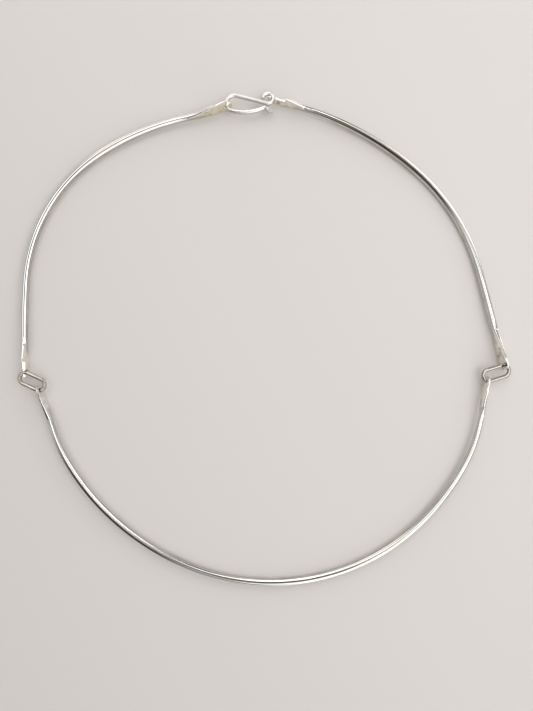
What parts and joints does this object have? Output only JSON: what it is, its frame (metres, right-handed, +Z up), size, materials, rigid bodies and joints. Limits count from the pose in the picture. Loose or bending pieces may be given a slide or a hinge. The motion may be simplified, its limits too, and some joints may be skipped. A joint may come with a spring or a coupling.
{
  "type": "choker",
  "caption": "Slim silver collar choker: forged rod bows with flattened, drilled ends, joined by oval rings at the sides and fastened by a wire hook at the back.",
  "frame": {"origin": "middle of the collar's outline, on the surface it lies on", "axes": "+Z up from that surface, +Y towards the clasp at the back of the neck, +X to the right of the picture, which is the wearer's left"},
  "size_m": [0.1356, 0.1364, 0.0053],
  "materials": {
    "silver": "polished sterling silver, lightly hammered"
  },
  "bodies": {
    "back": {"left_bow": "silver", "right_bow": "silver", "hook": "silver"},
    "links": {"left_link": "silver", "right_link": "silver"},
    "front": {"front_bow": "silver"}
  },
  "joints": [
    {"name": "links_at_back_bows", "type": "hinge", "parent": "back", "child": "links", "pos_m": [-0.06553, -0.00969, 0.0023], "axis": [0.9999, 0.0156, 0], "range_deg": [-90, 90]},
    {"name": "front_bow_at_links", "type": "hinge", "parent": "links", "child": "front", "pos_m": [-0.0617, -0.0146, 0.0023], "axis": [0.9998, 0.0215, 0], "range_deg": [-90, 90]}
  ]
}
